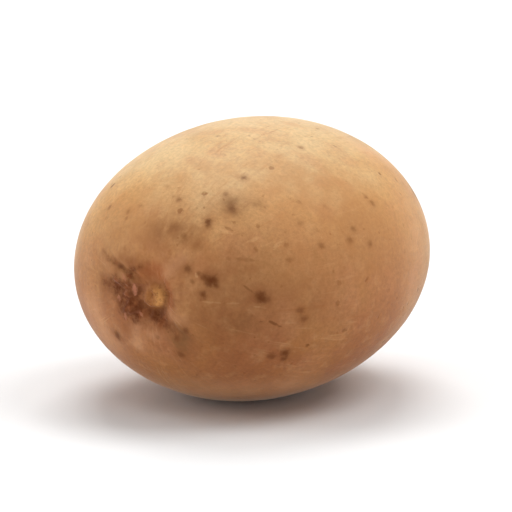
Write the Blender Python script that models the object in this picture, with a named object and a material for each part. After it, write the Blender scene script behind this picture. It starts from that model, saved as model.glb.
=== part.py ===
"""A whole sapodilla fruit lying on its side, as one solid.

Metres, +Z up. The stem end points to -X and the blossom end to +X. The fruit rests on a small flat spot
in the plane Z = 0, and the origin is under the middle of its bounding box.

The skin is a ring-by-ring grid. u runs from 0 at the stem to pi at the blossom end, v is the angle round
the long axis from +Y towards +Z, and r is the distance from that axis.
"""

import math

import bmesh
import bpy
import numpy as np
from mathutils import Matrix, Vector

MM = 0.001

# The fruit's plain egg, before the ends and the flat spot are shaped. It is a little fuller at the stem.
LENGTH = 78 * MM
WIDTH = 64.5 * MM
THICKNESS = 52 * MM
STEM_FULLNESS = 0.038

# How it lies: the stem end dips, and the bottom is flat where it rests.
STEM_DIP = math.radians(1.8)
FLAT_SPOT_DEPTH = 0.6 * MM

# The stem end: a wide dent, a navel in it, and the corky scar of the stalk inside a groove. The scar is a
# little off the axis, longer one way than the other, and pitted.
DENT_DEPTH, DENT_RADIUS = 2.0 * MM, 10.5 * MM
NAVEL_DEPTH, NAVEL_RADIUS = 1.6 * MM, 4.8 * MM
SCAR_ANGLE, SCAR_OFFSET = math.radians(268), 0.70 * MM
SCAR_HEIGHT, SCAR_RADIUS, SCAR_EDGE = 1.1 * MM, 2.3 * MM, 0.75 * MM
SCAR_WAVE, SCAR_TURN = 0.20 * MM, math.radians(110)
SCAR_PIT_DEPTH, SCAR_PIT_RADIUS = 0.4 * MM, 1.0 * MM
SCAR_PIT_ANGLE, SCAR_PIT_DISTANCE = math.radians(30), 0.5 * MM
GROOVE_DEPTH, GROOVE_RADIUS, GROOVE_WIDTH = 0.60 * MM, 3.4 * MM, 1.25 * MM
GROOVE_ANGLE = math.radians(235)
SHOULDER_RISE, SHOULDER_RADIUS, SHOULDER_WIDTH = 1.5 * MM, 14 * MM, 9.5 * MM
SHOULDER_ANGLE = math.radians(148)

# Folds that run out from the scar: angle, bend by their end, start, reach, half width and depth. The first
# six are creases. The others are broader: three ridges, and a hollow above the scar.
FOLDS = (
    (5, 0, 6.5 * MM, 12.5 * MM, 1.30 * MM, 0.45 * MM),
    (43, -10, 3.8 * MM, 14.5 * MM, 0.85 * MM, 0.50 * MM),
    (156, 10, 5.0 * MM, 10.0 * MM, 0.90 * MM, 0.25 * MM),
    (174, 0, 2.8 * MM, 4.8 * MM, 0.80 * MM, 0.45 * MM),
    (257, -26, 3.0 * MM, 11.8 * MM, 1.10 * MM, 0.65 * MM),
    (283, 4, 3.2 * MM, 10.0 * MM, 0.80 * MM, 0.30 * MM),
    (62, 0, 3.8 * MM, 8.5 * MM, 1.00 * MM, -0.25 * MM),
    (88, 0, 2.2 * MM, 7.8 * MM, 2.90 * MM, 0.95 * MM),
    (127, 0, 4.2 * MM, 10.6 * MM, 1.30 * MM, -0.50 * MM),
    (207, -4, 3.8 * MM, 10.5 * MM, 2.20 * MM, -0.40 * MM),
)

# The dry sepals, pressed flat against the fruit: angle, reach and width.
SEPALS = (
    (250, 6.0 * MM, 3.0 * MM),
    (284, 6.4 * MM, 4.0 * MM),
    (321, 8.8 * MM, 5.0 * MM),
    (350, 7.2 * MM, 3.4 * MM),
    (10, 9.0 * MM, 3.0 * MM),
)
SEPAL_START, SEPAL_HEIGHT, SEPAL_EDGE = 2.6 * MM, 0.35 * MM, 0.65 * MM

# The blossom end: a shallow flat round the dry stump of the style, with faint puckers.
TIP_FLAT_DEPTH, TIP_FLAT_RADIUS = 0.9 * MM, 7 * MM
STYLE_HEIGHT, STYLE_RADIUS, STYLE_EDGE = 1.3 * MM, 0.9 * MM, 0.4 * MM
PUCKER_DEPTH, PUCKER_RADIUS, PUCKER_WIDTH = 0.22 * MM, 3.4 * MM, 1.9 * MM
PUCKER_COUNT = 7

# The gentle unevenness of the whole body: height, waves along it, waves round it, phase.
SWELLS = (
    (0.60 * MM, 2, 1, 1.83),
    (0.23 * MM, 1, 2, 2.86),
    (0.15 * MM, 1, 3, 2.3),
    (0.12 * MM, 3, 2, 4.0),
)

# The mesh: points round each ring, and the spacing of the rings, which is closest at the ends.
RING_POINTS = 90
STEM_SPACING, STEM_GROWTH = 0.42 * MM, 0.06
TIP_SPACING, TIP_GROWTH = 0.40 * MM, 0.16
WIDEST_SPACING = 3.0 * MM

SKIN_COLOUR = (0.47, 0.25, 0.12, 1.0)
SKIN_ROUGHNESS = 0.62


def bell(distance, radius):
    return np.exp(-((distance / radius) ** 2))


def inside(distance, edge, softness):
    """1 nearer than edge and 0 beyond it, with a soft change of that width."""
    return 0.5 - 0.5 * np.tanh((distance - edge) / softness)


def turned(v, angle):
    """The angle from angle to v, between -pi and pi."""
    return (v - angle + math.pi) % (2 * math.pi) - math.pi


def fold(r, v, degrees, bend, start, reach, half_width):
    """1 along the middle of one fold and 0 beside it."""
    part = np.clip((r - start) / (reach - start), 0, 1)
    across = turned(v, np.radians(degrees + bend * part)) * r
    ends = inside(-r, -start, SCAR_EDGE) * inside(r, reach * 0.85, reach / 6)
    return bell(across, half_width) * ends


def sepal_distance(r, v):
    """Distance from the edge of the nearest sepal, below 0 on the sepal."""
    nearest = np.full(np.broadcast(r, v).shape, LENGTH)
    for degrees, reach, width in SEPALS:
        part = np.clip((r - SEPAL_START) / (reach - SEPAL_START), 0, 1)
        across = np.abs(turned(v, math.radians(degrees))) * r
        beside = across - width / 2 * (1 - part**3)
        nearest = np.minimum(nearest, np.maximum(beside, r - reach))
    return np.maximum(nearest, SEPAL_START - r)


def polar_about(r, v, angle, distance):
    """Distance from a point beside the axis, and the angle round that point."""
    across = r * np.cos(v) - distance * math.cos(angle)
    up = r * np.sin(v) - distance * math.sin(angle)
    return np.hypot(across, up), np.arctan2(up, across)


def stem_relief(u, v, r):
    """Height of the stem end's form above the egg."""
    near, turn = polar_about(r, v, SCAR_ANGLE, SCAR_OFFSET)
    height = -DENT_DEPTH * bell(r, DENT_RADIUS) - NAVEL_DEPTH * bell(near, NAVEL_RADIUS)
    edge = SCAR_RADIUS + SCAR_WAVE * np.cos(2 * (turn - SCAR_TURN))
    height = height + SCAR_HEIGHT * inside(near, edge, SCAR_EDGE)
    from_pit, _ = polar_about(near, turn, SCAR_PIT_ANGLE, SCAR_PIT_DISTANCE)
    height = height - SCAR_PIT_DEPTH * bell(from_pit, SCAR_PIT_RADIUS)
    groove = bell(near - GROOVE_RADIUS, GROOVE_WIDTH) * (0.5 + 0.5 * np.cos(turn - GROOVE_ANGLE))
    height = height - GROOVE_DEPTH * groove
    shoulder = np.cos(v - SHOULDER_ANGLE) * bell(r - SHOULDER_RADIUS, SHOULDER_WIDTH)
    height = height + SHOULDER_RISE * shoulder * np.cos(u)
    for *place, depth in FOLDS:
        height = height - depth * fold(r, v, *place)
    return height + SEPAL_HEIGHT * inside(sepal_distance(r, v), 0, SEPAL_EDGE)


def tip_relief(v, r):
    """Height of the blossom end's form above the egg."""
    puckers = np.cos(PUCKER_COUNT * v + 2 * np.sin(v)) * bell(r - PUCKER_RADIUS, PUCKER_WIDTH)
    style = STYLE_HEIGHT * inside(r, STYLE_RADIUS, STYLE_EDGE)
    return style - TIP_FLAT_DEPTH * bell(r, TIP_FLAT_RADIUS) + PUCKER_DEPTH * puckers


def swell(u, v):
    """The body's unevenness, which dies away at both ends."""
    waves = [size * np.sin(along * u) * np.cos(around * v + phase) for size, along, around, phase in SWELLS]
    return sum(waves) * np.sin(u)


def skin_points(u, v):
    """Points of the skin for arrays u and v, before the fruit is laid down."""
    half = np.array([LENGTH, WIDTH, THICKNESS]) / 2
    full = np.sin(u) * (1 + STEM_FULLNESS * np.cos(u))
    unit = np.stack([-np.cos(u) + 0 * v, full * np.cos(v), full * np.sin(v)], axis=-1)
    egg = unit * half
    normal = unit / half
    normal /= np.linalg.norm(normal, axis=-1, keepdims=True)
    r = np.hypot(egg[..., 1], egg[..., 2])
    relief = np.where(u < math.pi / 2, stem_relief(u, v, r), tip_relief(v, r)) + swell(u, v)
    return egg + normal * relief[..., None]


def ring_angles():
    """Angles u of the rings, close together at the ends and wide apart in the middle."""
    radius = (WIDTH + THICKNESS) / 4
    arc = math.pi * radius
    angles = []
    along = STEM_SPACING
    while along < arc - TIP_SPACING / 2:
        angles.append(along / radius)
        from_stem = STEM_SPACING + STEM_GROWTH * along
        from_tip = TIP_SPACING + TIP_GROWTH * max(0.0, arc - along - TIP_SPACING)
        along += min(from_stem, from_tip, WIDEST_SPACING)
    return np.array(angles)


def skin_mesh():
    """The closed skin, ring by ring from the stem to the tip."""
    u = ring_angles()[:, None]
    v = np.linspace(0, 2 * math.pi, RING_POINTS, endpoint=False)[None, :]
    poles = skin_points(np.array([0.0, math.pi]), np.zeros(2))
    bm = bmesh.new()
    stem, tip = [bm.verts.new(point) for point in poles]
    rings = [[bm.verts.new(point) for point in ring] for ring in skin_points(u, v)]
    for i in range(RING_POINTS):
        j = (i + 1) % RING_POINTS
        bm.faces.new((stem, rings[0][i], rings[0][j]))
        bm.faces.new((tip, rings[-1][j], rings[-1][i]))
        for near, far in zip(rings, rings[1:]):
            bm.faces.new((near[i], far[i], far[j], near[j]))
    bmesh.ops.recalc_face_normals(bm, faces=bm.faces)
    return bm


def lay_down(bm):
    """Turns the fruit as it lies, cuts its flat spot, and puts the origin under the middle of its box."""
    bmesh.ops.transform(bm, matrix=Matrix.Rotation(-STEM_DIP, 4, "Y"), verts=bm.verts)
    floor = min(vert.co.z for vert in bm.verts) + FLAT_SPOT_DEPTH
    everything = list(bm.verts) + list(bm.edges) + list(bm.faces)
    cut = bmesh.ops.bisect_plane(
        bm, geom=everything, dist=1e-7, plane_co=(0, 0, floor), plane_no=(0, 0, -1), clear_outer=True
    )
    rim = [item for item in cut["geom_cut"] if isinstance(item, bmesh.types.BMEdge)]
    bmesh.ops.contextual_create(bm, geom=rim)
    low = [min(vert.co[axis] for vert in bm.verts) for axis in range(3)]
    high = [max(vert.co[axis] for vert in bm.verts) for axis in range(3)]
    middle = Vector(((low[0] + high[0]) / 2, (low[1] + high[1]) / 2, floor))
    bmesh.ops.translate(bm, vec=-middle, verts=bm.verts)
    bmesh.ops.recalc_face_normals(bm, faces=bm.faces)


def skin_material():
    material = bpy.data.materials.new("sapodilla_skin")
    material.use_nodes = True
    shader = material.node_tree.nodes["Principled BSDF"]
    shader.inputs["Base Color"].default_value = SKIN_COLOUR
    shader.inputs["Roughness"].default_value = SKIN_ROUGHNESS
    return material


def build_sapodilla():
    bm = skin_mesh()
    lay_down(bm)
    mesh = bpy.data.meshes.new("sapodilla")
    bm.to_mesh(mesh)
    bm.free()
    mesh.shade_smooth()
    mesh.set_sharp_from_angle(angle=math.radians(50))
    mesh.materials.append(skin_material())
    fruit = bpy.data.objects.new("sapodilla", mesh)
    bpy.context.scene.collection.objects.link(fruit)
    return fruit


for old in list(bpy.data.objects):
    bpy.data.objects.remove(old)
build_sapodilla()
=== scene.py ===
"""Looks of a whole sapodilla fruit lying on its side: its skin, its materials and a plain studio.

The skin is the solid's own formula on a finer grid, so it stays where the solid is. u runs from 0 at the
stem to pi at the blossom end, v is the angle round the long axis from +Y towards +Z, and r is the distance
from that axis.
"""

import math

import bpy
import numpy as np
from mathutils import Matrix, Vector, noise
from mathutils.bvhtree import BVHTree


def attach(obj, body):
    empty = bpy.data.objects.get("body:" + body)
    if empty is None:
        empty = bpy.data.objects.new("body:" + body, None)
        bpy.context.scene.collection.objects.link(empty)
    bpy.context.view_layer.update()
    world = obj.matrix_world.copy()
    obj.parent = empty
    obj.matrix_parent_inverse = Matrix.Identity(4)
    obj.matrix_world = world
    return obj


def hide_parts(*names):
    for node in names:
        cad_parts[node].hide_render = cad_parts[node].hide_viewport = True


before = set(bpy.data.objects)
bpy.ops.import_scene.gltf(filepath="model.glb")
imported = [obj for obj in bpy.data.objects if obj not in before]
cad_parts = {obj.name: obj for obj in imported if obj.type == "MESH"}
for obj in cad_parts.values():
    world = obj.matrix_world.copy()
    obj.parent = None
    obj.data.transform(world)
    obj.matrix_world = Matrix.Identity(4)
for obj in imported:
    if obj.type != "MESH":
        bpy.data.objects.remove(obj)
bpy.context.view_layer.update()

MM = 0.001

# The fruit's form, as in the solid.
LENGTH = 78 * MM
WIDTH = 64.5 * MM
THICKNESS = 52 * MM
STEM_FULLNESS = 0.038
STEM_DIP = math.radians(1.8)
FLAT_SPOT_DEPTH, FLAT_SPOT_EDGE = 0.6 * MM, 0.06 * MM

DENT_DEPTH, DENT_RADIUS = 2.0 * MM, 10.5 * MM
NAVEL_DEPTH, NAVEL_RADIUS = 1.6 * MM, 4.8 * MM
SCAR_ANGLE, SCAR_OFFSET = math.radians(268), 0.70 * MM
SCAR_HEIGHT, SCAR_RADIUS, SCAR_EDGE = 1.1 * MM, 2.3 * MM, 0.75 * MM
SCAR_WAVE, SCAR_TURN = 0.20 * MM, math.radians(110)
SCAR_PIT_DEPTH, SCAR_PIT_RADIUS = 0.4 * MM, 1.0 * MM
SCAR_PIT_ANGLE, SCAR_PIT_DISTANCE = math.radians(30), 0.5 * MM
GROOVE_DEPTH, GROOVE_RADIUS, GROOVE_WIDTH = 0.60 * MM, 3.4 * MM, 1.25 * MM
GROOVE_ANGLE = math.radians(235)
SHOULDER_RISE, SHOULDER_RADIUS, SHOULDER_WIDTH = 1.5 * MM, 14 * MM, 9.5 * MM
SHOULDER_ANGLE = math.radians(148)

# Creases: angle, bend by their end, start, reach, half width and depth.
CREASES = (
    (5, 0, 6.5 * MM, 12.5 * MM, 1.30 * MM, 0.45 * MM),
    (43, -10, 3.8 * MM, 14.5 * MM, 0.85 * MM, 0.50 * MM),
    (156, 10, 5.0 * MM, 10.0 * MM, 0.90 * MM, 0.25 * MM),
    (174, 0, 2.8 * MM, 4.8 * MM, 0.80 * MM, 0.45 * MM),
    (257, -26, 3.0 * MM, 11.8 * MM, 1.10 * MM, 0.65 * MM),
    (283, 4, 3.2 * MM, 10.0 * MM, 0.80 * MM, 0.30 * MM),
)

# Of a fold's reach: where its end begins, and how softly it ends.
FOLD_END, FOLD_FADE = 0.85, 1 / 6

# Broad folds, in the same way: ridges, and one hollow above the scar.
BROAD_FOLDS = (
    (62, 0, 3.8 * MM, 8.5 * MM, 1.00 * MM, -0.25 * MM),
    (88, 0, 2.2 * MM, 7.8 * MM, 2.90 * MM, 0.95 * MM),
    (127, 0, 4.2 * MM, 10.6 * MM, 1.30 * MM, -0.50 * MM),
    (207, -4, 3.8 * MM, 10.5 * MM, 2.20 * MM, -0.40 * MM),
)

# The dry sepals, pressed flat against the fruit: angle, reach and width.
SEPALS = (
    (250, 6.0 * MM, 3.0 * MM),
    (284, 6.4 * MM, 4.0 * MM),
    (321, 8.8 * MM, 5.0 * MM),
    (350, 7.2 * MM, 3.4 * MM),
    (10, 9.0 * MM, 3.0 * MM),
)
SEPAL_START, SEPAL_HEIGHT, SEPAL_EDGE = 2.6 * MM, 0.35 * MM, 0.65 * MM

TIP_FLAT_DEPTH, TIP_FLAT_RADIUS = 0.9 * MM, 7 * MM
STYLE_HEIGHT, STYLE_RADIUS, STYLE_EDGE = 1.3 * MM, 0.9 * MM, 0.4 * MM
PUCKER_DEPTH, PUCKER_RADIUS, PUCKER_WIDTH = 0.22 * MM, 3.4 * MM, 1.9 * MM
PUCKER_COUNT, PUCKER_CROWDING = 7, 2

# Swells of the body: height, waves along it, waves round it, phase.
SWELLS = (
    (0.60 * MM, 2, 1, 1.83),
    (0.23 * MM, 1, 2, 2.86),
    (0.15 * MM, 1, 3, 2.3),
    (0.12 * MM, 3, 2, 4.0),
)

# Relief that only the fine grid holds. Noise: height and wavelength. The rays' wavelengths have no unit.
LUMPS, RIPPLES = (0.05 * MM, 9 * MM), (0.02 * MM, 3 * MM)
STEM_RAYS, SEPAL_RAYS = (0.12 * MM, 0.16), (0.06 * MM, 0.2)
CALYX_WRINKLES, CORK_LUMPS, STYLE_LUMPS = (0.09 * MM, 1.9 * MM), (0.12 * MM, 1.6 * MM), (0.25 * MM, 0.9 * MM)
OCTAVE_SHIFT = 17.3

# Where it is: the rays' ring, how far the wrinkles reach past the sepals, and the lumps round the style.
RAYS_RADIUS, RAYS_WIDTH = 6 * MM, 5 * MM
WRINKLES_REACH, WRINKLES_EDGE = 1.2 * MM, 0.6 * MM
STYLE_LUMPS_RADIUS = 1.5 * MM

# The sepals' curled edges. How far noise moves the edges of creases and sepals, and its wavelength.
CURL_HEIGHT, CURL_INSET, CURL_WIDTH = 0.08 * MM, 0.5 * MM, 0.6 * MM
CREASE_WANDER, SEPAL_WANDER = (0.35 * MM, 2.5 * MM), (0.45 * MM, 4.0 * MM)
WANDER_SHIFT = 5 * MM

# The scar's colour: where its paler side is, partly the cork's own paler colour and partly painted light, how
# far the colour spreads past the scar's edge, and how much farther it does so on that side than at the top,
# and less far on the other.
SCAR_LIGHT_ANGLE = math.radians(190)
SCAR_GROWTH, SCAR_LEAN = 0.32 * MM, 0.22 * MM

# Other colours at the ends: the sepals' soft edge and their rim with its painted highlight, the depth of a
# crease that is fully dark with painted shade, the stain round the style, and how far the rays reach at the
# stem and at the tip.
SEPAL_BLUR, RIM_INSET, RIM_WIDTH = 0.4 * MM, 0.25 * MM, 0.40 * MM
DARK_CREASE = 0.5 * MM
STYLE_STAIN_RADIUS = 2.2 * MM
STEM_REACH, TIP_REACH = 13 * MM, 6 * MM

# How noise is stretched into rays at the ends, and into streaks along the fruit.
RAY_LENGTH = 9 * MM
STREAK_STRETCH = 0.16

# The fine grid.
RING_POINTS = 300
STEM_SPACING, STEM_GROWTH = 0.12 * MM, 0.022
TIP_SPACING, TIP_GROWTH = 0.16 * MM, 0.035
WIDEST_SPACING = 0.42 * MM

# The photograph's view: the camera's direction from the fruit, its distance from the egg's centre, and how
# a pixel of the photograph becomes a direction. The render's lens is longer, so the fruit fills the frame.
CAMERA_AZIMUTH, CAMERA_ELEVATION = math.radians(-59.77), math.radians(9.95)
CAMERA_DISTANCE = 459.5 * MM
PHOTO_CENTRE = (234.05, 161.79)
PHOTO_FOCAL = 1208.9
ZOOM = 2.0
SENSOR, PHOTO_WIDTH = 36.0, 512
CLIP_START, CLIP_END = 0.01, 30


def bell(distance, radius):
    return np.exp(-((distance / radius) ** 2))


def inside(distance, edge, softness):
    """1 nearer than edge and 0 beyond it, with a soft change of that width."""
    return 0.5 - 0.5 * np.tanh((distance - edge) / softness)


def turned(v, angle):
    """The angle from angle to v, between -pi and pi."""
    return (v - angle + math.pi) % (2 * math.pi) - math.pi


def fold(r, v, degrees, bend, start, reach, half_width):
    """1 along the middle of one fold and 0 beside it."""
    part = np.clip((r - start) / (reach - start), 0, 1)
    across = turned(v, np.radians(degrees + bend * part)) * r
    ends = inside(-r, -start, SCAR_EDGE) * inside(r, reach * FOLD_END, reach * FOLD_FADE)
    return bell(across, half_width) * ends


def depth_of(folds, r, v):
    """Depth of all the folds of a table together."""
    return sum(depth * fold(r, v, *place) for *place, depth in folds)


def sepal_distance(r, v):
    """Distance from the edge of the nearest sepal, below 0 on the sepal."""
    nearest = np.full(r.shape, LENGTH)
    for degrees, reach, width in SEPALS:
        part = np.clip((r - SEPAL_START) / (reach - SEPAL_START), 0, 1)
        across = np.abs(turned(v, math.radians(degrees))) * r
        beside = across - width / 2 * (1 - part**3)
        nearest = np.minimum(nearest, np.maximum(beside, r - reach))
    return np.maximum(nearest, SEPAL_START - r)


def polar_about(r, v, angle, distance):
    """Distance from a point beside the axis, and the angle round that point."""
    across = r * np.cos(v) - distance * math.cos(angle)
    up = r * np.sin(v) - distance * math.sin(angle)
    return np.hypot(across, up), np.arctan2(up, across)


def round_scar(r, v):
    """Distance from the scar's middle, and the angle round it."""
    return polar_about(r, v, SCAR_ANGLE, SCAR_OFFSET)


def scar_share(r, v, grow=0.0):
    """1 on the scar of the stalk and 0 beside it."""
    return inside(r, SCAR_RADIUS + SCAR_WAVE * np.cos(2 * (v - SCAR_TURN)) + grow, SCAR_EDGE)


def stem_relief(u, v, r):
    """Height of the stem end's form above the egg, without the creases and sepals."""
    near, turn = round_scar(r, v)
    height = -DENT_DEPTH * bell(r, DENT_RADIUS) - NAVEL_DEPTH * bell(near, NAVEL_RADIUS)
    height = height + SCAR_HEIGHT * scar_share(near, turn)
    from_pit, _ = polar_about(near, turn, SCAR_PIT_ANGLE, SCAR_PIT_DISTANCE)
    height = height - SCAR_PIT_DEPTH * bell(from_pit, SCAR_PIT_RADIUS)
    groove = bell(near - GROOVE_RADIUS, GROOVE_WIDTH) * (0.5 + 0.5 * np.cos(turn - GROOVE_ANGLE))
    height = height - GROOVE_DEPTH * groove
    shoulder = np.cos(v - SHOULDER_ANGLE) * bell(r - SHOULDER_RADIUS, SHOULDER_WIDTH)
    height = height + SHOULDER_RISE * shoulder * np.cos(u)
    return height - depth_of(BROAD_FOLDS, r, v)


def tip_relief(v, r):
    """Height of the blossom end's form above the egg."""
    waves = np.cos(PUCKER_COUNT * v + PUCKER_CROWDING * np.sin(v))
    puckers = waves * bell(r - PUCKER_RADIUS, PUCKER_WIDTH)
    style = STYLE_HEIGHT * inside(r, STYLE_RADIUS, STYLE_EDGE)
    return style - TIP_FLAT_DEPTH * bell(r, TIP_FLAT_RADIUS) + PUCKER_DEPTH * puckers


def swell(u, v):
    """The body's unevenness, which dies away at both ends."""
    waves = [size * np.sin(along * u) * np.cos(around * v + phase) for size, along, around, phase in SWELLS]
    return sum(waves) * np.sin(u)


def egg_points(u, v):
    """Points and normals of the plain egg, and their distance from the axis."""
    half = np.array([LENGTH, WIDTH, THICKNESS]) / 2
    full = np.sin(u) * (1 + STEM_FULLNESS * np.cos(u))
    unit = np.stack([-np.cos(u) + 0 * v, full * np.cos(v), full * np.sin(v)], axis=-1)
    egg = unit * half
    normal = unit / half
    normal /= np.linalg.norm(normal, axis=-1, keepdims=True)
    return egg, normal, np.hypot(egg[..., 1], egg[..., 2])


def noise_at(points, wavelength, octaves=1):
    """Smooth noise of about -1 to 1 at each point, each octave half as long and half as strong."""
    total = np.zeros(len(points))
    for octave in range(octaves):
        scaled = points * (2**octave / wavelength) + OCTAVE_SHIFT * octave
        total += np.array([noise.noise(Vector(p)) for p in scaled]) / 2**octave
    return total


def rough(points, height, wavelength, octaves=2):
    """Noise of that height at each point."""
    return height * noise_at(points, wavelength, octaves)


def ring_angles():
    """Angles u of the rings, close together at the ends and wider apart in the middle."""
    radius = (WIDTH + THICKNESS) / 4
    arc = math.pi * radius
    angles = []
    along = STEM_SPACING
    while along < arc - TIP_SPACING / 2:
        angles.append(along / radius)
        from_stem = STEM_SPACING + STEM_GROWTH * along
        from_tip = TIP_SPACING + TIP_GROWTH * max(0.0, arc - along - TIP_SPACING)
        along += min(from_stem, from_tip, WIDEST_SPACING)
    return np.array(angles)


def grid_angles():
    """u and v of every point: the stem's, then ring by ring, then the tip's."""
    u, v = np.meshgrid(ring_angles(), np.linspace(0, 2 * math.pi, RING_POINTS, endpoint=False), indexing="ij")
    return np.concatenate([[0.0], u.ravel(), [math.pi]]), np.concatenate([[0.0], v.ravel(), [0.0]])


def grid_faces(rings):
    """The quads between the rings, and the triangles round the stem's and the tip's points."""
    faces = []
    last = rings * RING_POINTS + 1
    for i in range(RING_POINTS):
        j = (i + 1) % RING_POINTS
        faces.append((0, 1 + i, 1 + j))
        faces.append((last, last - RING_POINTS + j, last - RING_POINTS + i))
    start = 1 + np.arange(rings - 1)[:, None] * RING_POINTS
    i = np.arange(RING_POINTS)[None, :]
    j = (i + 1) % RING_POINTS
    quads = np.stack([start + i, start + RING_POINTS + i, start + RING_POINTS + j, start + j], axis=-1)
    return faces + quads.reshape(-1, 4).tolist()


def end_polar(v, r):
    """Coordinates that make noise run in rays from the scar, and from the style."""
    return np.stack([np.cos(v), np.sin(v), r / RAY_LENGTH], axis=-1)


def bent(egg, v, r, amount, wavelength):
    """r and v moved by noise, so that what follows them wanders."""
    bent_r = r + amount * noise_at(egg, wavelength, 2)
    bent_v = v + amount * noise_at(egg + WANDER_SHIFT, wavelength, 2) / np.maximum(r, 1 * MM)
    return bent_r, bent_v


def stem_details(egg, v, r, creases, sepals):
    """Height of the stem end's creases, sepals, rays and wrinkles, and of the scar's rough top."""
    polar = end_polar(v, r)
    relief = rough(polar, *STEM_RAYS) * bell(r - RAYS_RADIUS, RAYS_WIDTH) - creases
    relief += rough(egg, *CALYX_WRINKLES) * inside(sepals, WRINKLES_REACH, WRINKLES_EDGE)
    curl = CURL_HEIGHT * bell(sepals + CURL_INSET, CURL_WIDTH) + rough(polar, *SEPAL_RAYS)
    relief += inside(sepals, 0, SEPAL_EDGE) * (SEPAL_HEIGHT + curl)
    return relief + rough(egg, *CORK_LUMPS) * scar_share(*round_scar(r, v))


def details(egg, u, v, r, creases, sepals):
    """Height of the creases, the sepals, and all that only the fine grid holds."""
    stem = stem_details(egg, v, r, creases, sepals)
    tip = rough(egg, *STYLE_LUMPS) * bell(r, STYLE_LUMPS_RADIUS)
    return rough(egg, *LUMPS) + rough(egg, *RIPPLES, octaves=1) + np.where(u < math.pi / 2, stem, tip)


def lay_down(points):
    """Turns the points as the fruit lies and flattens its resting spot. Returns them and the egg's centre."""
    turn = np.array(Matrix.Rotation(-STEM_DIP, 3, "Y"))
    points = points @ turn.T
    floor = points[:, 2].min() + FLAT_SPOT_DEPTH
    points[:, 2] = floor + FLAT_SPOT_EDGE * np.logaddexp(0, (points[:, 2] - floor) / FLAT_SPOT_EDGE)
    low, high = points.min(axis=0), points.max(axis=0)
    middle = np.array([(low[0] + high[0]) / 2, (low[1] + high[1]) / 2, floor])
    return points - middle, -middle


def camera_axes():
    """Unit vectors from the fruit to the camera, to the photograph's right, and to its top."""
    a, e = CAMERA_AZIMUTH, CAMERA_ELEVATION
    back = Vector((math.sin(a) * math.cos(e), -math.cos(a) * math.cos(e), math.sin(e)))
    right = Vector((math.cos(a), math.sin(a), 0))
    return back, right, back.cross(right)


def set_attribute(mesh, name, values):
    """Writes one number, or three, for each point of the mesh."""
    if values.ndim == 1:
        mesh.attributes.new(name, "FLOAT", "POINT").data.foreach_set("value", values.astype(np.float32))
    else:
        attribute = mesh.attributes.new(name, "FLOAT_VECTOR", "POINT")
        attribute.data.foreach_set("vector", values.astype(np.float32).ravel())


def set_place(mesh, u, v, r, creases, sepals):
    """Writes where each point is: on which part of the ends, and along the rays and streaks."""
    stem = u < math.pi / 2
    near, turn = round_scar(r, v)
    side = np.cos(turn - SCAR_LIGHT_ANGLE)
    cork = scar_share(near, turn, SCAR_GROWTH + SCAR_LEAN * side)
    set_attribute(mesh, "scar", np.where(stem, cork, 0))
    # The scar's paler side, partly painted light.
    set_attribute(mesh, "scar_light", 0.5 + 0.5 * side * np.clip(near / SCAR_RADIUS, 0, 1))
    set_attribute(mesh, "sepal", np.where(stem, inside(sepals, 0, SEPAL_BLUR), 0))
    # The sepals' rims, which get a painted highlight.
    set_attribute(mesh, "sepal_rim_highlight", np.where(stem, bell(sepals + RIM_INSET, RIM_WIDTH), 0))
    # Creases, darkened with painted shade by their depth.
    set_attribute(mesh, "crease", np.where(stem, creases / DARK_CREASE, 0))
    set_attribute(mesh, "style", np.where(stem, 0, bell(r, STYLE_STAIN_RADIUS)))
    set_attribute(mesh, "end_near", np.where(stem, bell(r, STEM_REACH), bell(r, TIP_REACH)))
    set_attribute(mesh, "end_polar", end_polar(v, r))
    set_attribute(mesh, "lengthwise", np.stack([np.cos(v), np.sin(v), u * STREAK_STRETCH], axis=-1))


def build_skin():
    """The fruit's skin, and the egg's centre."""
    u, v = grid_angles()
    egg, normal, r = egg_points(u, v)
    creases = depth_of(CREASES, *bent(egg, v, r, *CREASE_WANDER))
    sepals = sepal_distance(*bent(egg, v, r, *SEPAL_WANDER))
    relief = np.where(u < math.pi / 2, stem_relief(u, v, r), tip_relief(v, r)) + swell(u, v)
    relief = relief + details(egg, u, v, r, creases, sepals)
    points, centre = lay_down(egg + normal * relief[:, None])
    mesh = bpy.data.meshes.new("sapodilla_skin")
    mesh.from_pydata(points.tolist(), [], grid_faces((len(u) - 2) // RING_POINTS))
    mesh.shade_smooth()
    set_place(mesh, u, v, r, creases, sepals)
    set_attribute(mesh, "height", (normal[:, 2] + 1) / 2)
    skin = bpy.data.objects.new("sapodilla_skin", mesh)
    bpy.context.scene.collection.objects.link(skin)
    return skin, Vector(centre)


# What a noise node gives, but for its rare extremes.
NOISE_RANGE = (0.3, 0.7)

# Where a dot begins and is full, in its radii, and how many waves of noise roughen it in a cell.
DOT_EDGE, DOT_CORE, DOT_WAVES = 1.3, 0.4, 3


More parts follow.
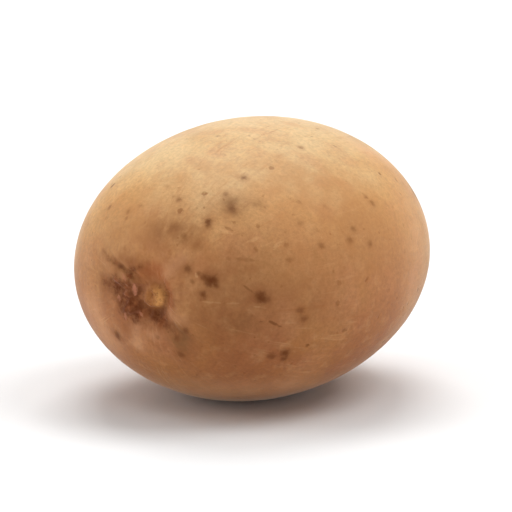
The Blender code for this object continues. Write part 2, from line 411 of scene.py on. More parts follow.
class Graph:
    """A material's nodes, with short calls to add and join them."""

    def __init__(self, name):
        self.material = bpy.data.materials.new(name)
        self.material.use_nodes = True
        self.nodes = self.material.node_tree.nodes
        self.links = self.material.node_tree.links
        self.shader = self.nodes["Principled BSDF"]

    def put(self, socket, value):
        """Joins a socket to another node's output, or sets its value."""
        if isinstance(value, bpy.types.NodeSocket):
            self.links.new(value, socket)
        else:
            socket.default_value = value

    def attribute(self, name, output="Fac"):
        node = self.nodes.new("ShaderNodeAttribute")
        node.attribute_name = name
        return node.outputs[output]

    def place(self, scale=(1, 1, 1)):
        """Object coordinates, stretched by scale."""
        where = self.nodes.new("ShaderNodeTexCoord").outputs["Object"]
        mapping = self.nodes.new("ShaderNodeMapping")
        self.put(mapping.inputs["Vector"], where)
        mapping.inputs["Scale"].default_value = scale
        return mapping.outputs["Vector"]

    def noise(self, wavelength, detail=2.0, roughness=0.5, scale=(1, 1, 1), where=None):
        node = self.nodes.new("ShaderNodeTexNoise")
        self.put(node.inputs["Vector"], where or self.place(scale))
        node.inputs["Scale"].default_value = 1 / wavelength
        node.inputs["Detail"].default_value = detail
        node.inputs["Roughness"].default_value = roughness
        return node.outputs["Fac"]

    def cells(self, wavelength):
        """Distance to the nearest of a random set of points, and that point's own random colour."""
        node = self.nodes.new("ShaderNodeTexVoronoi")
        self.put(node.inputs["Vector"], self.place())
        node.inputs["Scale"].default_value = 1 / wavelength
        return node.outputs["Distance"], node.outputs["Color"]

    def dots(self, wavelength, radius, rarity, strength):
        """Small dots, one in each cell whose random tone passes rarity. Their radius is in wavelengths."""
        distance, tone = self.cells(wavelength)
        uneven = self.ramp(self.noise(wavelength / DOT_WAVES), *NOISE_RANGE, -radius / 2, radius / 2)
        field = self.math("ADD", distance, uneven)
        share = self.ramp(field, radius * DOT_EDGE, radius * DOT_CORE)
        return self.math("MULTIPLY", share, self.ramp(tone, rarity, 1.0, 0, strength))

    def math(self, operation, a, b=0.0, clamp=False):
        node = self.nodes.new("ShaderNodeMath")
        node.operation = operation
        node.use_clamp = clamp
        self.put(node.inputs[0], a)
        self.put(node.inputs[1], b)
        return node.outputs[0]

    def ramp(self, value, low, high, to_low=0.0, to_high=1.0):
        """value from low to high, turned into to_low to to_high with soft ends."""
        node = self.nodes.new("ShaderNodeMapRange")
        node.interpolation_type = "SMOOTHSTEP"
        self.put(node.inputs["Value"], value)
        for name, number in zip(("From Min", "From Max", "To Min", "To Max"), (low, high, to_low, to_high)):
            self.put(node.inputs[name], number)
        return node.outputs["Result"]

    def mix(self, factor, a, b, blend="MIX"):
        node = self.nodes.new("ShaderNodeMix")
        node.data_type = "RGBA"
        node.blend_type = blend
        self.put(node.inputs["Factor"], factor)
        self.put(node.inputs[6], a)
        self.put(node.inputs[7], b)
        return node.outputs[2]

    def bump(self, height, distance, normal=None):
        node = self.nodes.new("ShaderNodeBump")
        node.inputs["Distance"].default_value = distance
        self.put(node.inputs["Height"], height)
        if normal:
            self.put(node.inputs["Normal"], normal)
        return node.outputs["Normal"]

    def spread(self, value, width):
        """Noise moved to lie about 0, and widened."""
        return self.math("MULTIPLY", self.math("SUBTRACT", value, 0.5), width)

    def mark(self, colour, kind, reach, core, share, ragged, tint):
        """The colour with one crisp kind of mark on it, from reach of its radii and full at core."""
        field = self.math("ADD", self.attribute(kind), ragged)
        strength = self.ramp(field, reach, core, 0, share)
        return self.mix(self.math("MULTIPLY", strength, self.attribute(kind + "_depth")), colour, tint)

    def patchy(self, kind, pattern, broken):
        """How much there is of one soft kind of mark, which noise breaks up."""
        patches = self.ramp(pattern, *NOISE_RANGE, 1 - broken, 1 + broken)
        return self.math("MULTIPLY", self.attribute(kind), patches, clamp=True)


def rgb(r, g, b):
    return (r, g, b, 1.0)


# Colours of the skin and of what is on it, among them painted light, painted highlights and painted shade.
LOWEST_SKIN_PAINTED_BOUNCE, LOW_SKIN_AND_PAINTED_SHADE = rgb(0.47, 0.21, 0.090), rgb(0.330, 0.122, 0.045)
HIGH_SKIN, TOP_SKIN_PAINTED_LIGHT = rgb(0.58, 0.328, 0.130), rgb(0.615, 0.425, 0.218)
OCHRE, RUSSET, RUSSET_SHADE = rgb(0.50, 0.25, 0.068), rgb(0.34, 0.120, 0.034), rgb(0.22, 0.072, 0.020)
PALE, ROSE, BLUSH = rgb(0.68, 0.39, 0.17), rgb(0.46, 0.20, 0.090), rgb(0.57, 0.20, 0.080)
PAINTED_LIGHT_TONE, TAN = rgb(0.68, 0.36, 0.19), rgb(0.46, 0.215, 0.072)
DARK_BROWN, SPOT_BROWN, CRACK_BROWN_AND_PAINTED_SHADE = rgb(0.15, 0.048, 0.009), rgb(0.12, 0.030, 0.003), rgb(0.15, 0.045, 0.012)
SMUDGE_BROWN, HOLLOW_SHADE_RED = rgb(0.20, 0.088, 0.029), rgb(0.31, 0.095, 0.028)
STAIN_AND_SHADE_BROWN, SEPAL_BROWN = rgb(0.115, 0.027, 0.004), rgb(0.21, 0.060, 0.017)
SEPAL_PINK_HIGHLIGHT = rgb(0.48, 0.19, 0.105)
CORK_DARK_AND_SHADED, CORK_PALE_AND_LIT = rgb(0.32, 0.120, 0.032), rgb(0.58, 0.270, 0.082)
STYLE_TAN = rgb(0.30, 0.135, 0.055)
SHEEN_TINT = rgb(1.0, 0.86, 0.70)
WHITE = rgb(1, 1, 1)

# Noises in the skin: wavelength, detail and roughness. Those of the rays and streaks have no unit.
TONE_NOISE, STREAK_PATCH_NOISE = (26 * MM, 2), (15 * MM, 1)
GRAIN_NOISE, STREAK_NOISE, RAY_NOISE = (0.75 * MM, 4, 0.7), (0.035, 3, 0.6), (0.2, 3, 0.6)
BROAD_EDGE_NOISE, FINE_EDGE_NOISE = (3.5 * MM, 3, 0.6), (1.1 * MM, 3, 0.6)
RAGGED_NOISE, WRINKLE_NOISE, RIM_NOISE = (0.9 * MM, 4, 0.7), (1.6 * MM, 3, 0.6), (2.2 * MM, 3, 0.6)
SCAR_NOISE, CORK_NOISE, STYLE_NOISE = (1.4 * MM, 3), (0.8 * MM, 4, 0.7), (0.9 * MM, 3, 0.6)

# The skin's tones, by the way it faces from 0 straight down to 1 straight up: where each begins and is full.
# Darker where the skin faces down, partly its own tone and partly painted shade; paler on top, painted light;
# lighter again at the very bottom, painted bounce light. Noise shifts them up and down.
HIGH_TONE, TOP_TONE, LOWEST_TONE = (0.2, 1.0), (0.78, 0.96), (0.16, 0.03)
LOWEST_SHARE, TONE_SHIFT = 0.8, 0.10

# Patches in the skin: the noise's wavelength, detail, roughness and stretch, where in it they begin and are
# full, their share and their colour.
EVEN = (1, 1, 1)
PATCHES = (
    (12 * MM, 2, 0.5, EVEN, 0.42, 0.68, 0.22, OCHRE),
    (8 * MM, 2, 0.5, (1.2, 0.8, 1.0), 0.50, 0.68, 0.32, ROSE),
    (6 * MM, 3, 0.6, EVEN, 0.45, 0.72, 0.22, RUSSET),
    (3.2 * MM, 3, 0.6, EVEN, 0.50, 0.72, 0.20, PALE),
)

# Dots and specks all over: wavelength, radius in wavelengths, how few of the cells have one, strength.
DOTS, SPECKS = (3.4 * MM, 0.15, 0.4, 0.75), (1.3 * MM, 0.20, 0.6, 0.60)

# Where in a noise or a field each of these begins and is full, and its share at both.
GRAIN_SHADES = (0.25, 0.75, 0.84, 1.16)
PALE_STREAKS, RUSSET_STREAKS, STREAK_PATCHES = (0.56, 0.78, 0, 0.32), (0.44, 0.22, 0, 0.42), (0.36, 0.60)
RAY_SHADES, CREASE_SHADE = (0.5, 0.8, 0, 0.5), (0.1, 1.5, 0, 0.5)
DRY_TONES, RIM_PINK = (0.46, 0.66), (0.46, 0.62, 0, 0.25)
CORK_TONES, CORK_EDGE, CORK_CRACKS = (0.40, 0.85), (0.85, 0.40, 0, 0.45), (0.50, 0.66, 0, 0.55)
STYLE_FOOT, STYLE_TOP = (0.30, 0.85, 0, 0.9), (0.82, 1.05, 0, 0.8)

# How widely noise moves the edges of the creases, of the crest highlights, of the scar's tones and of the
# style. How much it breaks up the hollow's painted shade and the stains with their painted shade. How much of
# a sepal is dry.
CREASE_SPREAD, CREST_SPREAD, SCAR_SPREAD, STYLE_SPREAD = 2.0, 3.0, 0.5, 0.6
HOLLOW_SHADE_BROKEN, STAIN_AND_SHADE_BROKEN = 0.2, 0.35
SEPAL_SHARE = 0.55
CREST_REACH, CREST_CORE = 1.8, 0.2

# The skin's gloss, sheen and relief.
ROUGHNESS, CALYX_ROUGHER = (0.2, 0.8, 0.48, 0.64), 0.1
SPECULAR, SHEEN, SHEEN_ROUGHNESS = 0.12, 0.38, 0.25
WRINKLE_BUMP, GRAIN_BUMP, MARK_BUMP = 0.16 * MM, 0.06 * MM, 0.08 * MM

# Soft kinds of marks on the skin: name, how much noise breaks them up, and their colour. The light kind is
# painted light; the shade kind is partly darker patches of the skin and partly painted shade.
SOFT_KINDS = (
    ("blush", 0.4, BLUSH),
    ("light", 0.3, PAINTED_LIGHT_TONE),
    ("shade", 0.4, RUSSET_SHADE),
    ("tan", 0.3, TAN),
    ("smudge", 0.8, SMUDGE_BROWN),
)

# Crisp kinds: name, where they begin and are fullest in their own radii, their strength, how much the broad
# and the fine noise move their edge, and their colour.
CRISP_KINDS = (
    ("halo", 2.6, 0.8, 0.40, 1.0, 1.3, RUSSET_SHADE),
    ("scuff", 1.5, 0.4, 0.80, 2.0, 1.6, PALE),
    ("line", 1.5, 0.3, 0.90, 1.5, 1.6, DARK_BROWN),
    ("spot", 1.45, 0.15, 1.00, 0.0, 1.3, SPOT_BROWN),
)


def bare_skin(g):
    """The bare skin's colour, with painted shade and light by how it faces, and the height of its grain and
    of its marks.
    """
    height = g.attribute("height")
    shift = g.ramp(g.noise(*TONE_NOISE), *NOISE_RANGE, -TONE_SHIFT, TONE_SHIFT)
    lift = g.math("ADD", height, shift)
    # Painted shade below and painted light on top, by the way the skin faces; then painted bounce light at
    # the very bottom.
    colour = g.mix(g.ramp(lift, *HIGH_TONE), LOW_SKIN_AND_PAINTED_SHADE, HIGH_SKIN)
    colour = g.mix(g.ramp(lift, *TOP_TONE), colour, TOP_SKIN_PAINTED_LIGHT)
    colour = g.mix(g.ramp(height, *LOWEST_TONE, 0, LOWEST_SHARE), colour, LOWEST_SKIN_PAINTED_BOUNCE)
    for wavelength, detail, roughness, stretch, begins, full, share, tint in PATCHES:
        pattern = g.noise(wavelength, detail, roughness, stretch)
        colour = g.mix(g.ramp(pattern, begins, full, 0, share), colour, tint)
    grain = g.noise(*GRAIN_NOISE)
    colour = g.mix(1.0, colour, g.ramp(grain, *GRAIN_SHADES), "MULTIPLY")
    lines = g.noise(*STREAK_NOISE, where=g.attribute("lengthwise", "Vector"))
    patches = g.ramp(g.noise(*STREAK_PATCH_NOISE), *STREAK_PATCHES)
    streaks = g.math("MULTIPLY", g.ramp(lines, *PALE_STREAKS), patches)
    colour = g.mix(streaks, colour, PALE)
    colour = g.mix(g.math("MULTIPLY", g.ramp(lines, *RUSSET_STREAKS), patches), colour, RUSSET)
    dots = g.dots(*DOTS)
    colour = g.mix(g.math("MAXIMUM", dots, g.dots(*SPECKS)), colour, DARK_BROWN)
    return colour, grain, g.math("SUBTRACT", streaks, dots)


def marked_skin(g, colour):
    """The colour with the placed painted light, darker patches partly of painted shade, smudges, scuffs,
    lines and spots on it.
    """
    broad_noise, fine_noise = g.noise(*BROAD_EDGE_NOISE), g.noise(*FINE_EDGE_NOISE)
    for kind, broken, tint in SOFT_KINDS:
        colour = g.mix(g.patchy(kind, broad_noise, broken), colour, tint)
    for kind, reach, core, share, broad, fine, tint in CRISP_KINDS:
        ragged = g.math("ADD", g.spread(broad_noise, broad), g.spread(fine_noise, fine))
        colour = g.mark(colour, kind, reach, core, share, ragged, tint)
    return colour


def creased_skin(g, colour, ragged):
    """The colour with the stem end's russet rays, the reddish painted shade of its hollow and the painted
    shade of its creases on it.
    """
    rays = g.ramp(g.noise(*RAY_NOISE, where=g.attribute("end_polar", "Vector")), *RAY_SHADES)
    colour = g.mix(g.math("MULTIPLY", g.attribute("end_near"), rays), colour, RUSSET_SHADE)
    # Painted shade, reddish, in the hollow round the scar.
    colour = g.mix(g.patchy("hollow", ragged, HOLLOW_SHADE_BROKEN), colour, HOLLOW_SHADE_RED)
    # Painted shade in the creases, darker the deeper they are.
    crease = g.math("ADD", g.attribute("crease"), g.spread(ragged, CREASE_SPREAD))
    return g.mix(g.ramp(crease, *CREASE_SHADE), colour, CRACK_BROWN_AND_PAINTED_SHADE)


def dry_calyx(g, colour, ragged):
    """The colour with the dry calyx, its painted shade and its painted highlights on it, how much is calyx
    and shade, and its wrinkles.
    """
    wrinkles = g.noise(*WRINKLE_NOISE)
    dry = g.mix(g.ramp(wrinkles, *DRY_TONES), STAIN_AND_SHADE_BROWN, SEPAL_BROWN)
    colour = g.mix(g.math("MULTIPLY", g.attribute("sepal"), SEPAL_SHARE), colour, dry)
    # Dark stains of the calyx, partly painted shade in its grooves and cracks.
    calyx = g.patchy("stain_and_shade", ragged, STAIN_AND_SHADE_BROKEN)
    colour = g.mix(calyx, colour, dry)
    # Painted highlights, pinkish, along the sepals' rims and on the calyx's crests.
    rim = g.math("MULTIPLY", g.attribute("sepal_rim_highlight"), g.ramp(g.noise(*RIM_NOISE), *RIM_PINK))
    colour = g.mix(rim, colour, SEPAL_PINK_HIGHLIGHT)
    crest_edge = g.spread(ragged, CREST_SPREAD)
    colour = g.mark(colour, "crest_highlight", CREST_REACH, CREST_CORE, 1.0, crest_edge, SEPAL_PINK_HIGHLIGHT)
    return colour, calyx, g.math("MULTIPLY", calyx, wrinkles)


def corky_scar(g, colour):
    """The colour with the scar on it: paler on one side, partly its own colour and partly painted light;
    darkened at its steep edge with painted shade; and cracked.
    """
    # Paler on one side: partly the cork's own colour and partly painted light.
    tone = g.math("ADD", g.attribute("scar_light"), g.spread(g.noise(*SCAR_NOISE), SCAR_SPREAD))
    cork = g.mix(g.ramp(tone, *CORK_TONES), CORK_DARK_AND_SHADED, CORK_PALE_AND_LIT)
    scar = g.attribute("scar")
    # Painted shade at the scar's steep edge.
    cork = g.mix(g.ramp(scar, *CORK_EDGE), cork, CRACK_BROWN_AND_PAINTED_SHADE)
    cork = g.mix(g.ramp(g.noise(*CORK_NOISE), *CORK_CRACKS), cork, CRACK_BROWN_AND_PAINTED_SHADE)
    return g.mix(scar, colour, cork)


def blossom_end(g, colour):
    """The colour with the dry style on it: dark round its foot, and tan on top."""
    style = g.math("ADD", g.attribute("style"), g.spread(g.noise(*STYLE_NOISE), STYLE_SPREAD))
    colour = g.mix(g.ramp(style, *STYLE_FOOT), colour, STAIN_AND_SHADE_BROWN)
    return g.mix(g.ramp(style, *STYLE_TOP), colour, STYLE_TAN)


def skin_material():
    g = Graph("sapodilla_skin")
    colour, grain, marks = bare_skin(g)
    ragged = g.noise(*RAGGED_NOISE)
    colour = creased_skin(g, marked_skin(g, colour), ragged)
    colour, calyx, wrinkles = dry_calyx(g, colour, ragged)
    g.put(g.shader.inputs["Base Color"], blossom_end(g, corky_scar(g, colour)))
    rougher = g.math("MULTIPLY", calyx, CALYX_ROUGHER)
    g.put(g.shader.inputs["Roughness"], g.math("ADD", g.ramp(grain, *ROUGHNESS), rougher))
    normal = g.bump(wrinkles, WRINKLE_BUMP, g.bump(grain, GRAIN_BUMP))
    g.put(g.shader.inputs["Normal"], g.bump(marks, MARK_BUMP, normal))
    g.shader.inputs["Specular IOR Level"].default_value = SPECULAR
    g.shader.inputs["Sheen Weight"].default_value = SHEEN
    g.shader.inputs["Sheen Roughness"].default_value = SHEEN_ROUGHNESS
    g.shader.inputs["Sheen Tint"].default_value = SHEEN_TINT
    return g.material


# Marks on the skin, placed by the photograph's pixels. A row is a spot, with its pixel across and down, its
# radius in millimetres and its depth of colour, or a stroke, with the pixels of both its ends first.
SPOTS = (
    (256.6, 107.5, 0.55, 0.50),
    (228.0, 122.7, 0.62, 0.65),
    (218.8, 130.9, 0.50, 0.50),
    (195.6, 133.5, 0.60, 0.50),
    (192.4, 132.2, 0.35, 0.35),
    (189.7, 127.0, 0.45, 0.25),
    (160.8, 137.4, 0.55, 0.40),
    (176.4, 136.7, 0.40, 0.30),
    (170.0, 139.8, 0.50, 0.35),
    (169.3, 143.0, 0.40, 0.30),
    (255.6, 134.7, 0.40, 0.35),
    (268.4, 136.7, 0.45, 0.30),
    (288.8, 132.2, 0.45, 0.45),
    (292.3, 135.4, 0.60, 0.45),
    (264.5, 148.8, 0.45, 0.30),
    (256.3, 145.6, 0.60, 0.25),
    (282.7, 148.1, 0.60, 0.40),
    (281.0, 153.6, 0.65, 0.45),
    (291.0, 155.5, 0.65, 0.40),
    (267.0, 156.7, 0.60, 0.50),
    (264.0, 162.0, 0.50, 0.25),
    (251.2, 164.0, 0.50, 0.30),
    (222.4, 138.0, 0.85, 0.55),
    (210.2, 144.6, 0.70, 0.80),
    (210.3, 146.2, 0.65, 0.75),
    (193.2, 147.4, 1.00, 0.28),
    (198.2, 152.4, 0.90, 0.45),
    (204.5, 156.8, 0.90, 0.30),
    (200.0, 168.4, 0.80, 0.65),
    (202.4, 174.6, 0.45, 0.50),
    (205.4, 170.6, 0.45, 0.45),
    (211.6, 174.2, 1.25, 0.95),
    (208.3, 172.4, 0.75, 0.75),
    (213.8, 176.2, 0.70, 0.80),
    (207.6, 181.2, 0.75, 0.80),
    (236.6, 182.6, 1.25, 0.90),
    (239.4, 183.6, 0.80, 0.70),
    (256.2, 189.0, 0.70, 0.50),
    (258.0, 193.2, 0.80, 0.60),
    (164.9, 201.6, 1.05, 0.80),
    (198.8, 199.2, 0.75, 0.60),
    (194.8, 203.0, 0.75, 0.50),
    (196.4, 211.0, 0.80, 0.50),
    (241.8, 211.8, 0.85, 0.60),
    (248.7, 210.4, 0.95, 0.85),
    (248.3, 213.0, 0.70, 0.75),
)
SMUDGES = (
    (223.0, 136.5, 2.4, 0.50),
    (235.0, 136.2, 1.3, 0.30),
    (195.0, 148.0, 2.6, 0.20),
    (203.0, 151.0, 2.6, 0.20),
    (187.0, 149.5, 2.2, 0.20),
    (228.0, 195.6, 2.6, 0.25),
    (197.5, 200.5, 2.4, 0.50),
    (194.0, 204.5, 1.8, 0.35),
    (197.0, 211.0, 1.6, 0.30),
)
# Darker patches, partly the skin's own browner tone and partly painted shade: in the grooves and cracks round
# the stem end and the scar, and on the lower side.
SHADES = (
    (212.0, 191.0, 9.5, 0.45),
    (228.0, 167.0, 7.0, 0.20),
    (184.0, 152.0, 6.5, 0.38),
    (283.0, 148.0, 285.0, 164.0, 7.0, 0.24),
    (163.5, 160.0, 159.0, 173.0, 4.2, 0.20),
    (242.0, 165.0, 4.0, 0.16),
    (262.0, 186.0, 7.0, 0.25),
    (234.0, 206.0, 8.0, 0.22),
    (169.5, 197.5, 2.2, 0.35),
    (209.0, 138.5, 2.5, 0.20),
    (193.5, 179.0, 194.2, 184.0, 1.5, 0.20),
    (191.8, 181.0, 192.2, 185.5, 1.0, 0.60),
    (166.8, 164.2, 173.0, 165.6, 1.3, 0.50),
    (187.0, 164.4, 189.0, 164.4, 1.2, 0.22),
    (198.6, 172.0, 198.6, 179.0, 1.6, 0.25),
    (255.0, 178.0, 260.0, 180.0, 3.0, 0.18),
    (158.5, 180.5, 158.8, 184.0, 1.4, 0.28),
    (178.5, 194.5, 185.0, 196.0, 1.6, 0.32),
    (157.0, 165.0, 159.0, 161.5, 1.5, 0.20),
    (166.0, 165.0, 197.0, 165.0, 3.0, 0.10),
    (209.0, 183.5, 2.5, 0.15),
    (231.0, 192.0, 3.0, 0.12),
)
BLUSHES = (
    (180.0, 158.0, 7.0, 0.35),
    (203.0, 165.0, 7.0, 0.30),
    (262.0, 148.0, 290.0, 157.0, 11.0, 0.20),
)
# Painted light: a rim of light down the right side and along the upper right, light on the lower left side
# and below the stem end, bounce light along the bottom, and a highlight on the ridge beside the scar.
PAINTED_LIGHTS = (
    (152.0, 188.0, 160.0, 203.0, 5.0, 0.36),
    (174.8, 196.5, 175.0, 206.0, 1.60, 0.35),
    (191.0, 190.5, 197.0, 194.5, 1.60, 0.25),
    (182.0, 201.5, 184.0, 201.5, 1.20, 0.22),
    (212.0, 230.0, 248.0, 228.0, 5.5, 0.45),
    (189.0, 172.0, 197.5, 163.0, 1.20, 0.35),
    (311.0, 142.0, 313.0, 172.0, 6.0, 0.30),
    (302.0, 116.0, 288.0, 109.0, 4.0, 0.30),
)
TANS = (
    (258.0, 123.0, 284.0, 129.0, 8.0, 0.40),
    (178.0, 134.0, 203.0, 119.0, 6.0, 0.32),
    (221.0, 127.0, 232.0, 121.0, 5.5, 0.32),
    (164.0, 152.0, 175.0, 145.0, 5.0, 0.30),
    (258.0, 140.0, 298.0, 154.0, 7.5, 0.24),
    (250.0, 168.0, 266.0, 166.0, 4.5, 0.18),
)

# Thin dark lines and pale scuffs, as strokes.
DARK_LINES = (
    (227.2, 176.1, 234.2, 181.2, 0.22, 0.60),
    (240.0, 194.0, 247.6, 197.8, 0.25, 0.80),
    (218.0, 147.2, 223.0, 149.4, 0.28, 0.45),
    (224.0, 163.0, 233.6, 164.2, 0.35, 0.30),
)
SCUFFS = (
    (216.0, 148.4, 223.0, 151.0, 0.30, 0.45),
    (229.3, 155.0, 235.7, 152.4, 0.35, 0.40),
    (242.5, 158.5, 248.0, 153.5, 0.40, 0.35),
    (207.0, 184.6, 217.0, 185.3, 0.18, 0.22),
    (219.0, 185.6, 227.0, 185.2, 0.18, 0.18),
    (232.0, 186.8, 240.0, 187.9, 0.18, 0.22),
    (266.6, 152.2, 266.9, 152.9, 0.40, 0.70),
    (244.0, 118.8, 247.0, 121.4, 0.45, 0.35),
    (203.7, 170.4, 204.8, 172.8, 0.28, 0.45),
)

# Strokes of the stem end: dark stains of the dry calyx, with painted shade in the cracks beside it and in the
# grooves round the scar and under the calyx; reddish painted shade in the hollow round the scar; painted
# highlights on the calyx's crests.
STEM_STAINS_AND_SHADE = (
    (170.0, 178.5, 170.0, 185.5, 1.70, 0.80),
    (170.5, 186.5, 173.5, 190.6, 1.90, 0.95),
    (166.0, 183.0, 167.0, 190.0, 1.20, 0.40),
    (188.2, 175.5, 190.6, 184.5, 0.75, 0.45),
    (174.4, 187.0, 175.2, 190.0, 0.90, 0.60),
    (170.0, 191.0, 172.6, 192.6, 1.20, 0.45),
    (184.5, 190.6, 186.5, 192.6, 1.00, 0.45),
    (168.6, 176.0, 168.6, 179.0, 0.80, 0.45),
    (175.0, 186.0, 175.0, 178.0, 0.90, 0.50),
    (176.5, 190.0, 183.0, 191.5, 1.10, 0.60),
    (183.5, 192.0, 187.8, 195.0, 1.25, 0.78),
    (164.3, 173.8, 164.8, 178.0, 1.20, 0.85),
    (158.5, 173.5, 163.5, 174.8, 1.10, 0.60),
    (159.0, 177.0, 163.0, 178.5, 1.20, 0.35),
    (172.3, 168.3, 170.3, 172.5, 0.80, 0.80),
    (172.3, 168.6, 176.0, 167.3, 0.50, 0.50),
    (170.0, 171.0, 166.5, 167.3, 0.60, 0.38),
    (166.5, 167.0, 163.2, 164.8, 0.60, 0.32),
    (163.2, 164.8, 160.0, 163.0, 0.50, 0.35),
    (160.0, 163.0, 157.7, 159.0, 0.45, 0.30),
)
# Painted shade, reddish, in the hollow above the scar and in the groove to its right.
HOLLOW_SHADES = (
    (178.0, 171.0, 185.0, 170.8, 2.10, 0.75),
    (181.0, 167.4, 185.5, 167.8, 1.40, 0.60),
    (189.2, 175.0, 191.0, 186.0, 1.20, 0.80),
)
# Painted highlights, pinkish, on the crests of the calyx.
CREST_HIGHLIGHTS = (
    (173.2, 176.0, 173.8, 181.2, 0.44, 0.85),
    (167.4, 170.8, 168.8, 174.2, 0.30, 0.40),
    (165.4, 181.5, 166.0, 184.4, 0.38, 0.50),
    (168.6, 190.3, 169.0, 194.0, 0.34, 0.50),
    (176.0, 189.4, 176.9, 191.8, 0.28, 0.45),
)

# How much slimmer a thin mark is at its ends, and a distance in radii that is far from every mark.
END_SLIMMING = 0.6
FAR_AWAY = 9.0

# Spots drawn by chance on the side that the photograph hides: how many, their seed, radius and depth.
HIDDEN_SPOTS, HIDDEN_SEED = 60, 11
HIDDEN_RADIUS, HIDDEN_DEPTH = (0.35, 1.1), (0.25, 0.85)


def on_skin(tree, centre, across, down):
    """The point of the skin that the photograph shows at a pixel."""
    back, right, up = camera_axes()
    eye = centre + back * CAMERA_DISTANCE
    ray = right * (across - PHOTO_CENTRE[0]) - up * (down - PHOTO_CENTRE[1]) - back * PHOTO_FOCAL
    return np.array(tree.ray_cast(eye, ray.normalized())[0])


def hidden_spots(points, centre):
    """Spots drawn by chance over the side that the photograph doesn't show."""
    draw = np.random.default_rng(HIDDEN_SEED)
    ways = draw.normal(size=(HIDDEN_SPOTS, 3))
    ways /= np.linalg.norm(ways, axis=1, keepdims=True)
    outward = points - np.array(centre)
    outward /= np.linalg.norm(outward, axis=1, keepdims=True)
    back = np.array(camera_axes()[0])
    for way in ways:
        radius, depth = draw.uniform(*HIDDEN_RADIUS) * MM, draw.uniform(*HIDDEN_DEPTH)
        place = points[(outward @ way).argmax()]
        if way @ back < 0:
            yield place, place, radius, depth


def radii_away(points, start, end, radius, slimming=0.0):
    """Each point's distance from a mark, in the mark's radii."""
    along = end - start
    part = np.clip((points - start) @ along / max(along @ along, 1e-9), 0, 1)
    slim = 1 - slimming * (2 * part - 1) ** 2 * along.any()
    return np.linalg.norm(points - start - part[:, None] * along, axis=1) / (radius * slim)


def nearest_mark(points, marks):
    """Each point's distance from the nearest mark, in that mark's radii, and that mark's depth."""
    nearest, depth = np.full(len(points), FAR_AWAY), np.zeros(len(points))
    for start, end, radius, strength in marks:
        away = radii_away(points, start, end, radius, END_SLIMMING)
        closer = away < nearest
        nearest[closer], depth[closer] = away[closer], strength
    return nearest, depth


def soft_share(points, marks):
    """How much the soft marks of one kind cover each point together."""
    bare = [1 - depth * bell(radii_away(points, *stroke), 1) for *stroke, depth in marks]
    return 1 - np.prod(bare, axis=0)


def mark_skin(skin, centre):
    """Writes how much of each soft kind of mark a point has, and how near and deep the next crisp one is."""
    mesh = skin.data
    points = np.array([vert.co for vert in mesh.vertices])
    tree = BVHTree.FromPolygons(points.tolist(), [face.vertices for face in mesh.polygons])

    def place(*pixels_and_values):
        """A mark's start, end, radius and depth."""
        *pixels, radius, depth = pixels_and_values
        start, end = on_skin(tree, centre, *pixels[:2]), on_skin(tree, centre, *pixels[-2:])
        return start, end, radius * MM, depth

    soft = {"blush": BLUSHES, "light": PAINTED_LIGHTS, "shade": SHADES, "tan": TANS, "smudge": SMUDGES}
    soft |= {"hollow": HOLLOW_SHADES, "stain_and_shade": STEM_STAINS_AND_SHADE}
    for kind, table in soft.items():
        set_attribute(mesh, kind, soft_share(points, [place(*mark) for mark in table]))
    dots = [place(*spot) for spot in SPOTS] + list(hidden_spots(points, centre))
    crisp = {
        "halo": dots,
        "scuff": [place(*mark) for mark in SCUFFS],
        "line": [place(*mark) for mark in DARK_LINES],
        "spot": dots,
        "crest_highlight": [place(*mark) for mark in CREST_HIGHLIGHTS],
    }
    for kind, marks in crisp.items():
        nearest, depth = nearest_mark(points, marks)
        set_attribute(mesh, kind, nearest)
        set_attribute(mesh, kind + "_depth", depth)


# The floor: flat to STAGE_RADIUS and then curved up all round. It brightens by itself far from the fruit.
STAGE_RADIUS, STAGE_RISE, STAGE_SIDES, STAGE_RINGS = 3.4, 0.9, 96, 9
FLOOR_GREY, FLOOR_ROUGHNESS = 0.78, 0.9
GLOW_START, GLOW_END, GLOW = 0.5, 2.2, 0.7


def floor_mesh():
    """The floor's middle point, and ring by ring what is round it."""
    points = [(0, 0, 0)]
    faces = []
    for number, turn in enumerate(np.linspace(0, math.pi / 2, STAGE_RINGS)):
        radius, height = STAGE_RADIUS + STAGE_RISE * math.sin(turn), STAGE_RISE * (1 - math.cos(turn))
        for side in range(STAGE_SIDES):
            angle = 2 * math.pi * side / STAGE_SIDES
            points.append((radius * math.cos(angle), radius * math.sin(angle), height))
            here = 1 + number * STAGE_SIDES + side
            beside = 1 + number * STAGE_SIDES + (side + 1) % STAGE_SIDES
            inner = (beside - STAGE_SIDES, here - STAGE_SIDES) if number else (0,)
            faces.append((here, beside, *inner))
    mesh = bpy.data.meshes.new("floor")
    mesh.from_pydata(points, [], faces)
    mesh.shade_smooth()
    return mesh


def floor_material():
    g = Graph("floor")
    g.shader.inputs["Base Color"].default_value = rgb(FLOOR_GREY, FLOOR_GREY, FLOOR_GREY)
    g.shader.inputs["Roughness"].default_value = FLOOR_ROUGHNESS
    g.shader.inputs["Specular IOR Level"].default_value = 0.0
    g.shader.inputs["Emission Color"].default_value = WHITE
    far = g.nodes.new("ShaderNodeVectorMath")
    far.operation = "LENGTH"
    g.put(far.inputs[0], g.place())
    g.put(g.shader.inputs["Emission Strength"], g.ramp(far.outputs["Value"], GLOW_START, GLOW_END, 0, GLOW))
    return g.material


def build_floor():
    mesh = floor_mesh()
    mesh.materials.append(floor_material())
    floor = bpy.data.objects.new("floor", mesh)
    bpy.context.scene.collection.objects.link(floor)


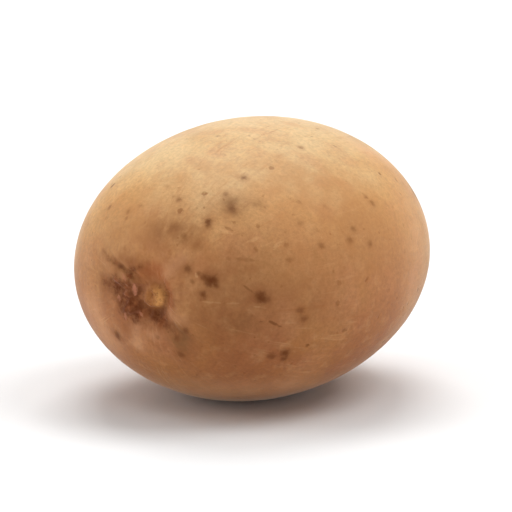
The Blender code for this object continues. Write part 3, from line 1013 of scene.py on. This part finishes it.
# Softboxes: name, degrees to the right of the camera, degrees above the floor, brightness.
SOFTBOXES = (
    ("zenith", 180, 89, 1.7),
    ("top_back", 180, 60, 6.6),
    ("top_front", 0, 60, 1.3),
    ("top_left", -90, 55, 2.0),
    ("top_right", 90, 55, 5.1),
    ("back", 180, 18, 0.8),
    ("front", 0, 10, 0.4),
    ("left", -95, 18, 3.4),
    ("right", 95, 18, 1.1),
)
SOFTBOX_SIZE, SOFTBOX_DISTANCE = 1.1, 2.0
WORLD_LIGHT = 0.06


def add_softbox(name, centre, side, height, radiance):
    """A square area light that faces the fruit."""
    azimuth, elevation = CAMERA_AZIMUTH + math.radians(side), math.radians(height)
    level = math.cos(elevation)
    away = Vector((math.sin(azimuth) * level, -math.cos(azimuth) * level, math.sin(elevation)))
    light = bpy.data.lights.new(name, "AREA")
    light.size = SOFTBOX_SIZE
    light.energy = radiance * math.pi * SOFTBOX_SIZE**2
    box = bpy.data.objects.new(name, light)
    box.location = centre + away * SOFTBOX_DISTANCE
    box.rotation_euler = away.to_track_quat("Z", "Y").to_euler()
    box.visible_camera = False
    bpy.context.scene.collection.objects.link(box)


def build_lights(centre):
    for name, side, height, radiance in SOFTBOXES:
        add_softbox(name, centre, side, height, radiance)
    world = bpy.data.worlds.new("studio")
    world.use_nodes = True
    background = world.node_tree.nodes["Background"]
    background.inputs["Color"].default_value = WHITE
    background.inputs["Strength"].default_value = WORLD_LIGHT
    bpy.context.scene.world = world


def build_camera(centre):
    """A camera where the photograph's was, aimed at the egg's centre, with the lens lengthened by ZOOM."""
    back = camera_axes()[0]
    data = bpy.data.cameras.new("camera")
    data.sensor_width = SENSOR
    data.lens = SENSOR * PHOTO_FOCAL * ZOOM / PHOTO_WIDTH
    data.clip_start, data.clip_end = CLIP_START, CLIP_END
    camera = bpy.data.objects.new("camera", data)
    camera.location = centre + back * CAMERA_DISTANCE
    camera.rotation_euler = back.to_track_quat("Z", "Y").to_euler()
    bpy.context.scene.collection.objects.link(camera)
    bpy.context.scene.camera = camera


def main():
    scene = bpy.context.scene
    scene.view_settings.view_transform = "Standard"
    skin, centre = build_skin()
    mark_skin(skin, centre)
    skin.data.materials.append(skin_material())
    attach(skin, "root")
    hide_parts("sapodilla")
    build_camera(centre)
    build_floor()
    build_lights(centre)


main()
